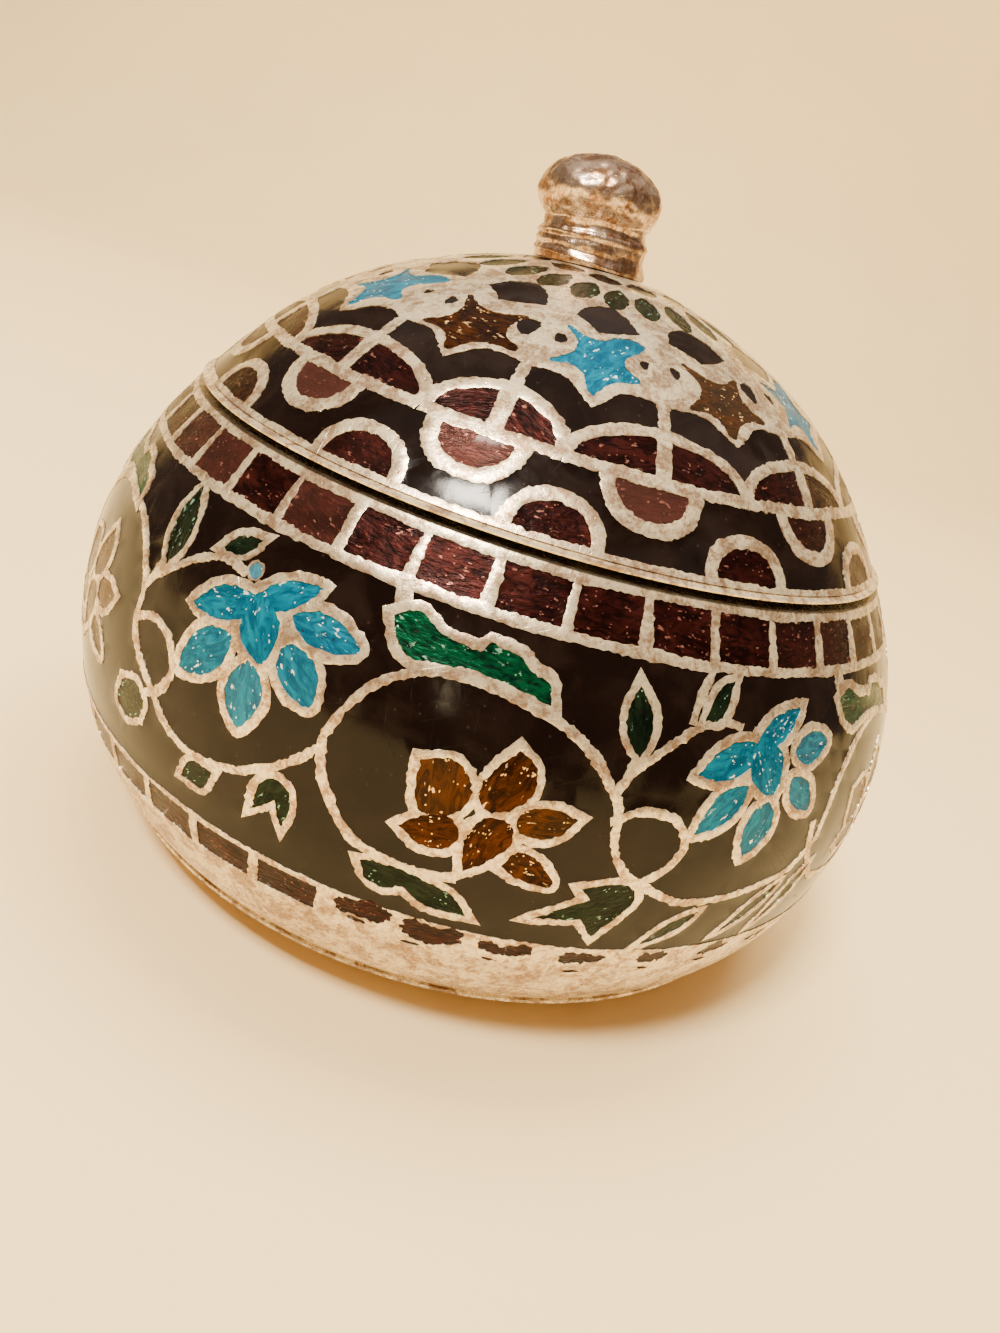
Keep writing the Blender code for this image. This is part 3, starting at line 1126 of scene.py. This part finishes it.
def knob_outline():
    """Solder bead, collar, waist and head, from the bottom upwards."""
    start = math.asin(waist_radius / head_radius)
    centre = waist_top + head_rise * math.cos(start)
    line = [(0.0, knob_base), (solder_radius - 0.25, knob_base)]
    corners = [
        (solder_radius - 0.05, knob_base + 0.02), (solder_radius, knob_base + 0.14),
        (solder_radius - 0.07, knob_base + 0.32), (collar_radius, knob_base + 0.5),
        (collar_radius - 0.04, collar_top - 0.32), (collar_radius, collar_top - 0.14),
        (collar_radius - 0.05, collar_top), (waist_radius + 0.03, collar_top + 0.14),
        (waist_radius, waist_top - 0.2), (waist_radius, waist_top),
    ]
    for low, high in zip(corners, corners[1:]):
        count = max(2, int(math.dist(low, high) / 0.06))
        line += [tuple(np.add(low, np.subtract(high, low) * part / count)) for part in range(count)]
    for angle in np.linspace(math.pi - start, 0, 72):
        line.append((head_radius * math.sin(angle), centre + head_rise * math.cos(angle)))
    line[-1] = (0.0, centre + head_rise)
    return line, centre


def cast_roughness(spot, away, on_head):
    """How far a spot on the knob stands out because it is cast a little rough."""
    rough = noise.fractal(spot * 0.8, 0.8, 2.0, 3) * cast_lumps
    if on_head:
        near = (away - pit_direction).length
        rough += noise.noise(spot * 2.4) * head_grain - pit_depth * math.exp(-(near / pit_width) ** 2)
        return rough + abs(noise.noise(spot * 1.3 + Vector((7, 0, 0)))) * head_dents - 0.02
    return rough + noise.noise(Vector((spot.x * 0.6, spot.y * 0.6, spot.z * 2.6))) * neck_lumps


def make_knob(material):
    """A flattened head on a stepped neck, cast a little rough, with a pit; it leans to the left."""
    outline, centre = knob_outline()
    points = []
    faces = []
    rings = []
    for radius, height in outline:
        steps = 1 if radius < 1e-9 else knob_steps
        rings.append(np.arange(len(points), len(points) + steps))
        for step in range(steps):
            angle = 2 * math.pi * step / steps
            spot = Vector((radius * math.cos(angle), radius * math.sin(angle), height))
            on_head = height > waist_top
            middle = Vector((0, 0, centre if on_head else height))
            away = (spot - middle).normalized() if radius > 1e-9 or on_head else Vector((0, 0, 0))
            spot += away * (cast_roughness(spot, away, on_head) - cast_shrink)
            share = min(1.0, (height - knob_base) / (collar_top - knob_base))
            spot.z += spot.x * math.tan(math.radians(neck_tilt)) * share
            spot.x -= knob_offset + (height - knob_base) * math.tan(math.radians(knob_lean))
            if height < knob_base + 0.05:
                spot.z = float(dome_level(math.hypot(spot.x, spot.y))) + 0.02 + (height - knob_base)
            points.append(spot * MM)
    for lower, upper in zip(rings, rings[1:]):
        faces += faces_between(lower, upper).tolist()
    mesh = bpy.data.meshes.new("knob_cast")
    mesh.from_pydata(points, [], faces)
    mesh.shade_smooth()
    mesh.set_sharp_from_angle(angle=math.radians(70))
    mesh.materials.append(material)
    piece = placed("knob_cast", mesh)
    return piece


to_millimetres = (1 / MM, 1 / MM, 1 / MM)


class Nodes:
    """Short ways to add nodes to a material or a group."""

    def __init__(self, tree):
        self.tree = tree
        self.shader = tree.nodes.get("Principled BSDF")

    def put(self, socket, value):
        if isinstance(value, bpy.types.NodeSocket):
            self.tree.links.new(value, socket)
        elif isinstance(value, tuple) and len(value) == 3 and socket.type == "RGBA":
            socket.default_value = (*value, 1)
        else:
            socket.default_value = value

    def add(self, kind, values=(), **settings):
        node = self.tree.nodes.new(kind)
        for name, value in settings.items():
            setattr(node, name, value)
        for name, value in dict(values).items():
            self.put(node.inputs[name], value)
        return node

    def math(self, operation, a, b):
        return self.add("ShaderNodeMath", {0: a, 1: b}, operation=operation).outputs[0]

    def times(self, a, b):
        return self.math("MULTIPLY", a, b)

    def plus(self, a, b):
        return self.math("ADD", a, b)

    def minus(self, a, b):
        return self.math("SUBTRACT", a, b)

    def noise(self, vector, scale, detail=2.0, roughness=0.5, distortion=0.0):
        values = {"Vector": vector, "Scale": scale, "Detail": detail, "Roughness": roughness,
                  "Distortion": distortion}
        return self.add("ShaderNodeTexNoise", values).outputs[0]

    def dots(self, vector, scale):
        """How far each place is from the nearest of many scattered dots."""
        values = {"Vector": vector, "Scale": scale, "Randomness": 1.0}
        return self.add("ShaderNodeTexVoronoi", values).outputs["Distance"]

    def place(self):
        """The place on the object, in metres."""
        return self.add("ShaderNodeTexCoord").outputs["Object"]

    def bump(self, strength, distance, height):
        """Gives the material bumps; distance is in millimetres."""
        values = {"Strength": strength, "Distance": distance * MM, "Height": height}
        self.put(self.shader.inputs["Normal"], self.add("ShaderNodeBump", values).outputs[0])

    def stretched(self, vector, sizes):
        return self.add("ShaderNodeVectorMath", {0: vector, 1: sizes}, operation="MULTIPLY").outputs[0]

    def turned(self, vector, axis, angle):
        node = self.add("ShaderNodeVectorRotate", {"Vector": vector, "Axis": axis, "Angle": angle})
        return node.outputs[0]

    def between(self, value, low, high, first=0.0, last=1.0):
        """Goes smoothly from first to last as value goes from low to high."""
        values = {0: value, 1: low, 2: high, 3: first, 4: last}
        return self.add("ShaderNodeMapRange", values, interpolation_type="SMOOTHSTEP").outputs[0]

    def mix(self, share, a, b):
        node = self.add("ShaderNodeMix", data_type="RGBA")
        self.put(node.inputs[0], share)
        self.put(node.inputs[6], a)
        self.put(node.inputs[7], b)
        return node.outputs[2]


def new_group(name, inputs, outputs):
    """An empty node group with named sockets; returns its node helper, input node and output node."""
    tree = bpy.data.node_groups.new(name, "ShaderNodeTree")
    for socket, kind in inputs:
        tree.interface.new_socket(name=socket, in_out="INPUT", socket_type=kind)
    for socket in outputs:
        tree.interface.new_socket(name=socket, in_out="OUTPUT", socket_type="NodeSocketFloat")
    nodes = Nodes(tree)
    return nodes, nodes.add("NodeGroupInput"), nodes.add("NodeGroupOutput")


def make_wear_group():
    """Marks of age in millimetres on the object: grain, blotches, scratches, pits, and their height."""
    outputs = ("Grain", "Blotches", "Scratches", "Pits", "Height")
    nodes, entry, result = new_group("wear", (), outputs)
    place = nodes.stretched(nodes.place(), to_millimetres)
    grain = nodes.noise(place, 5.5, 4.0, 0.65)
    fine = nodes.noise(place, 17.0, 2.0, 0.6)
    blotches = nodes.between(nodes.noise(place, 0.42, 5.0, 0.62, 0.6), 0.4, 0.68)
    scratches = 0.0
    for angle, along in ((0.5, 0.3), (-0.9, 0.24), (1.9, 0.35)):
        leaning = nodes.turned(place, (0.3, 1.0, 0.2), angle)
        thin = nodes.noise(nodes.stretched(leaning, (along, 0.35, 9.0)), 1.0, 1.0)
        scratches = nodes.plus(scratches, nodes.between(thin, 0.69, 0.72))
    scratched = nodes.between(nodes.noise(place, 0.3, 2.0), 0.42, 0.62)
    scratches = nodes.times(scratches, scratched)
    pits = nodes.between(nodes.dots(place, 1.5), 0.05, 0.11, 1.0, 0.0)
    height = nodes.plus(nodes.times(grain, 0.8), nodes.times(fine, 0.35))
    height = nodes.minus(height, nodes.times(scratches, 0.35))
    height = nodes.minus(height, nodes.times(pits, 0.6))
    for name, value in zip(outputs, (grain, blotches, scratches, pits, height)):
        nodes.put(result.inputs[name], value)
    return nodes.tree


def make_engraving_group():
    """What shows through clear enamel: streaks along the cell and painted glints, bright flecks in place of
    light caught by the engraving, and their height.
    """
    outputs = ("Streaks", "PaintedGlints", "Depth", "Height")
    nodes, entry, result = new_group("engraving", (("Cell", "NodeSocketVector"),), outputs)
    cell = entry.outputs["Cell"]
    streaks = nodes.noise(nodes.stretched(cell, (1.0, 2.3, 1.0)), 1.0, 4.0, 0.62, 1.5)
    fine = nodes.noise(nodes.stretched(cell, (2.6, 7.5, 1.0)), 1.0, 2.0, 0.6)
    broken = nodes.noise(nodes.stretched(cell, (2.6, 3.2, 1.0)), 1.0, 2.0, 0.5)
    depth = nodes.noise(nodes.stretched(cell, (0.5, 0.8, 1.0)), 1.0, 2.0, 0.5)
    # Painted glints: bright flecks in place of light caught by the engraving, only in scattered patches
    painted_glints = nodes.between(nodes.times(fine, broken), 0.35, 0.38)
    lit = nodes.between(nodes.noise(cell, 0.9, 2.0, 0.6), 0.47, 0.55)
    painted_glints = nodes.math("MAXIMUM", painted_glints, nodes.between(nodes.dots(cell, 3.2), 0.09, 0.15, 1.0, 0.0))
    painted_glints = nodes.times(painted_glints, lit)
    height = nodes.plus(streaks, nodes.times(fine, 0.7))
    values = (nodes.between(streaks, 0.36, 0.64), painted_glints, depth, height)
    for name, value in zip(outputs, values):
        nodes.put(result.inputs[name], value)
    return nodes.tree


def new_material(name):
    """A material, its node helper and its shader's inputs."""
    material = bpy.data.materials.new(name)
    material.use_nodes = True
    nodes = Nodes(material.node_tree)
    return material, nodes, nodes.shader.inputs


# Where the silver changes, as heights in millimetres between which one look goes over into the other
beaten_end = (5.0, 6.6)
# The next two are where a band of painted shade across the seam between bowl and lid starts and ends
painted_seam_shade_start = (22.45, 22.52)
painted_seam_shade_end = (22.62, 22.78)

speck_colour = (0.36, 0.20, 0.10)
pit_colour = (0.16, 0.09, 0.05)
# Colour of the painted shade in the seam between bowl and lid
painted_seam_shade_colour = (0.02, 0.011, 0.006)


def worn_silver(name, bright, dull, roughness, depth, lustre):
    """Old silver: pale, grainy, duller in blotches, with fine scratches and pits; beaten and speckled
    near the foot, and a near-black band of painted shade in the seam between bowl and lid."""
    material, nodes, inputs = new_material(name)
    wear = nodes.add("ShaderNodeGroup", node_tree=wear_group).outputs
    height = nodes.add("ShaderNodeSeparateXYZ", {0: nodes.place()}).outputs[2]
    place = nodes.stretched(nodes.place(), to_millimetres)
    patina = nodes.between(nodes.noise(place, 1.1, 5.0, 0.68, 0.4), 0.44, 0.58)
    share = nodes.times(nodes.between(wear["Grain"], 0.44, 0.58), 0.4)
    share = nodes.plus(share, nodes.times(patina, 0.6))
    share = nodes.plus(share, nodes.times(wear["Blotches"], 0.25))
    colour = nodes.mix(share, bright, dull)
    near_foot = nodes.between(height, beaten_end[0] * MM, beaten_end[1] * MM, 1.0, 0.0)
    specks = nodes.between(nodes.noise(place, 1.5, 4.0, 0.7), 0.55, 0.68)
    colour = nodes.mix(nodes.times(nodes.times(specks, near_foot), 0.8), colour, speck_colour)
    colour = nodes.mix(nodes.times(wear["Pits"], 0.3), colour, pit_colour)
    # Painted shade: the silver is darkened to near black across the seam between bowl and lid
    painted_seam_shade = nodes.times(nodes.between(height, painted_seam_shade_start[0] * MM, painted_seam_shade_start[1] * MM),
                        nodes.between(height, painted_seam_shade_end[0] * MM, painted_seam_shade_end[1] * MM, 1.0, 0.0))
    nodes.put(inputs["Base Color"], nodes.mix(painted_seam_shade, colour, painted_seam_shade_colour))
    rough = nodes.times(nodes.minus(wear["Grain"], 0.5), 0.5)
    rough = nodes.plus(rough, nodes.times(wear["Blotches"], 0.08))
    nodes.put(inputs["Roughness"], nodes.plus(rough, roughness))
    nodes.put(inputs["Metallic"], lustre)
    bumps = nodes.plus(wear["Height"], nodes.times(specks, nodes.times(near_foot, 1.5)))
    nodes.bump(0.6, depth, bumps)
    return material


def black_enamel():
    """Black glass with a brown cast, polished but smeared, with a few fine scratches."""
    material, nodes, inputs = new_material("black_enamel")
    wear = nodes.add("ShaderNodeGroup", node_tree=wear_group).outputs
    colour = nodes.mix(wear["Blotches"], (0.004, 0.0016, 0.001), (0.009, 0.0045, 0.003))
    colour = nodes.mix(nodes.times(wear["Pits"], 0.12), colour, (0.10, 0.075, 0.055))
    nodes.put(inputs["Base Color"], colour)
    rough = nodes.times(wear["Blotches"], 0.08)
    rough = nodes.plus(rough, nodes.times(wear["Scratches"], 0.1))
    nodes.put(inputs["Roughness"], nodes.plus(rough, 0.12))
    nodes.put(inputs["Specular IOR Level"], 0.21)
    nodes.bump(0.15, 0.015, wear["Height"])
    return material


def clear_enamel(name, deep, body, pale_and_glint, lustre, painted_glint_share, vivid=None):
    """Coloured glass over engraved silver: streaks and painted glints under a smooth clear coat. Cells of a
    high tint are a little paler, or have the two vivid colours, if there are any."""
    material, nodes, inputs = new_material(name + "_enamel")
    wear = nodes.add("ShaderNodeGroup", node_tree=wear_group).outputs
    cell = nodes.add("ShaderNodeUVMap", uv_map="Cell").outputs[0]
    tint_map = nodes.add("ShaderNodeUVMap", uv_map="Tint").outputs[0]
    tint = nodes.add("ShaderNodeSeparateXYZ", {0: tint_map}).outputs[0]
    marks = nodes.add("ShaderNodeGroup", {"Cell": cell}, node_tree=engraving_group).outputs
    share = nodes.times(marks["Streaks"], nodes.between(marks["Depth"], 0.3, 0.62, 0.35, 1.0))
    colour = nodes.mix(share, deep, body)
    if vivid:
        colour = nodes.mix(nodes.between(tint, 0.55, 1.0), colour, nodes.mix(marks["Streaks"], *vivid))
    else:
        colour = nodes.mix(nodes.between(tint, 0.55, 1.0, 0.0, 0.14), colour, pale_and_glint)
    # Painted glints: the pale colour is laid into the bright flecks
    colour = nodes.mix(nodes.times(marks["PaintedGlints"], painted_glint_share), colour, pale_and_glint)
    colour = nodes.mix(nodes.times(wear["Pits"], 0.7), colour, (0.02, 0.012, 0.01))
    nodes.put(inputs["Base Color"], colour)
    nodes.put(inputs["Metallic"], lustre)
    nodes.put(inputs["Roughness"], nodes.between(marks["Depth"], 0.3, 0.7, 0.24, 0.42))
    nodes.put(inputs["Coat Weight"], nodes.between(wear["Blotches"], 0.0, 1.0, 0.10, 0.04))
    nodes.put(inputs["Coat Roughness"], 0.07)
    nodes.put(inputs["Specular IOR Level"], 0.08)
    nodes.bump(0.6, 0.06, marks["Height"])
    return material


def pale_floor():
    """Plain warm seamless paper, very faintly mottled."""
    material, nodes, inputs = new_material("pale_floor")
    mottle = nodes.noise(nodes.place(), 30.0, 3.0)
    nodes.put(inputs["Base Color"], nodes.mix(mottle, (0.94, 0.71, 0.36), (0.97, 0.76, 0.40)))
    nodes.put(inputs["Roughness"], 0.9)
    return material


# Clear enamels: deep colour, body colour, pale colour that also colours the painted glints, lustre of the
# silver under them, share of the painted glints, and the vivid colours of the brightest cells
clear_looks = {
    "maroon": ((0.006, 0.0012, 0.001), (0.036, 0.0065, 0.005), (0.42, 0.17, 0.13), 0.5, 0.5),
    "turquoise": ((0.0, 0.08, 0.16), (0.0, 0.20, 0.34), (0.8, 0.97, 1.0), 0.4, 1.0),
    "amber": ((0.011, 0.0028, 0.0005), (0.075, 0.020, 0.0015), (1.0, 0.66, 0.30), 0.65, 0.9),
    "green": ((0.002, 0.006, 0.003), (0.011, 0.022, 0.011), (0.40, 0.80, 0.60), 0.5, 0.5,
              ((0.0, 0.009, 0.005), (0.0, 0.062, 0.024))),
}

wear_group = make_wear_group()
engraving_group = make_engraving_group()
materials = {
    "silver": worn_silver("worn_silver", (1.0, 0.87, 0.60), (0.35, 0.22, 0.13), 0.27, 0.025, 0.68),
    "cast": worn_silver("cast_silver", (0.86, 0.68, 0.51), (0.34, 0.17, 0.08), 0.26, 0.03, 1.0),
    "black": black_enamel(),
}
for colour_name, looks in clear_looks.items():
    materials[colour_name] = clear_enamel(colour_name, *looks)


def make_turned(name, art, low, high, before, after):
    """The silver shell of a turned piece, in place of the CAD's part of that name, and its enamels."""
    cut = Cut(art, low, high)
    pieces = [silver_shell(cut, before, after).make(name + "_silver", "silver", materials["silver"])]
    for kind in kinds[1:]:
        build = glass_slabs(cut, kind)
        if build:
            slot = kind + "_enamel"
            pieces.append(build.make(name + "_" + slot, slot, materials[kind], True))
    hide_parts(name)
    return pieces


bowl_pieces = make_turned("bowl", draw_bowl(), float(bowl_surface.run[0]), float(bowl_surface.run[-1]),
                          *bowl_outlines())
lid_pieces = make_turned("lid", draw_lid(), groove_top, float(lid_surface.run[-1]),
                         lid_outline(lid_surface, groove_top), None)
knob_piece = make_knob(materials["cast"])
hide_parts("knob")
for piece in bowl_pieces + lid_pieces + [knob_piece]:
    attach(piece, "root")


# Stage: a plain pale sweep
sweep_front = -0.55
sweep_back = 0.30
sweep_bend = 0.16
sweep_height = 0.25
sweep_half_width = 0.7


def make_sweep():
    """A floor that curves up into a wall behind."""
    line = [(sweep_front, 0.0), (sweep_back, 0.0)]
    for angle in np.linspace(0, math.pi / 2, 24)[1:]:
        line.append((sweep_back + sweep_bend * math.sin(angle), sweep_bend * (1 - math.cos(angle))))
    line.append((sweep_back + sweep_bend, sweep_height))
    points = [(side * sweep_half_width, y, z) for y, z in line for side in (-1, 1)]
    faces = [(i, i + 1, i + 3, i + 2) for i in range(0, len(points) - 2, 2)]
    mesh = bpy.data.meshes.new("sweep")
    mesh.from_pydata(points, [], faces)
    mesh.shade_smooth()
    mesh.materials.append(pale_floor())
    sweep = placed("sweep", mesh)


def area_light(name, place, aim, size, power, colour, mirrored=True):
    """A soft rectangular light pointing at a place near the box."""
    light = bpy.data.lights.new(name, "AREA")
    light.shape = "RECTANGLE"
    light.size, light.size_y = size
    light.energy = power
    light.color = colour
    lamp = placed(name, light)
    lamp.location = place
    lamp.visible_glossy = mirrored
    lamp.rotation_euler = (Vector(aim) - Vector(place)).to_track_quat("-Z", "Y").to_euler()


make_sweep()
area_light("key", (-0.112, -0.212, 0.38), (0, 0, 0.02), (0.09, 0.07), 3.6, (1.0, 0.90, 0.76))
area_light("floor_light", (0.0, 0.12, 0.62), (0, 0.1, 0.0), (0.5, 0.3), 7.6, (1.0, 0.87, 0.63), False)
area_light("ceiling", (0.0, 0.2, 0.7), (0, 0.2, 0.0), (1.2, 1.0), 1.7, (1.0, 0.84, 0.72))
area_light("glint", (-0.03, -0.36, 0.095), (0, 0, 0.017), (0.012, 0.006), 0.012, (1.0, 0.78, 0.45))

world = bpy.data.worlds.new("studio")
world.use_nodes = True
sky = world.node_tree.nodes["Background"].inputs
sky["Color"].default_value = (1.0, 0.72, 0.55, 1)
sky["Strength"].default_value = 0.24
bpy.context.scene.world = world

# Camera, at the photograph's angle
camera_place = Vector((0.973, -52.946, 32.339)) * MM
camera_down = math.radians(22.8)
camera_roll = math.radians(18.01)
camera_lens = 34.2

ahead = Vector((0, math.cos(camera_down), -math.sin(camera_down)))
level_up = Vector((0, math.sin(camera_down), math.cos(camera_down)))
right = Vector((1, 0, 0)) * math.cos(camera_roll) + level_up * math.sin(camera_roll)
up = right.cross(ahead)
camera_data = bpy.data.cameras.new("camera")
camera_data.lens = camera_lens
camera_data.sensor_width = 36
camera_data.sensor_fit = "HORIZONTAL"
camera_data.clip_start = 0.001
camera_data.clip_end = 10
camera = placed("camera", camera_data)
turn_to = Matrix((right, up, -ahead)).transposed().to_4x4()
camera.matrix_world = Matrix.Translation(camera_place) @ turn_to
bpy.context.scene.camera = camera
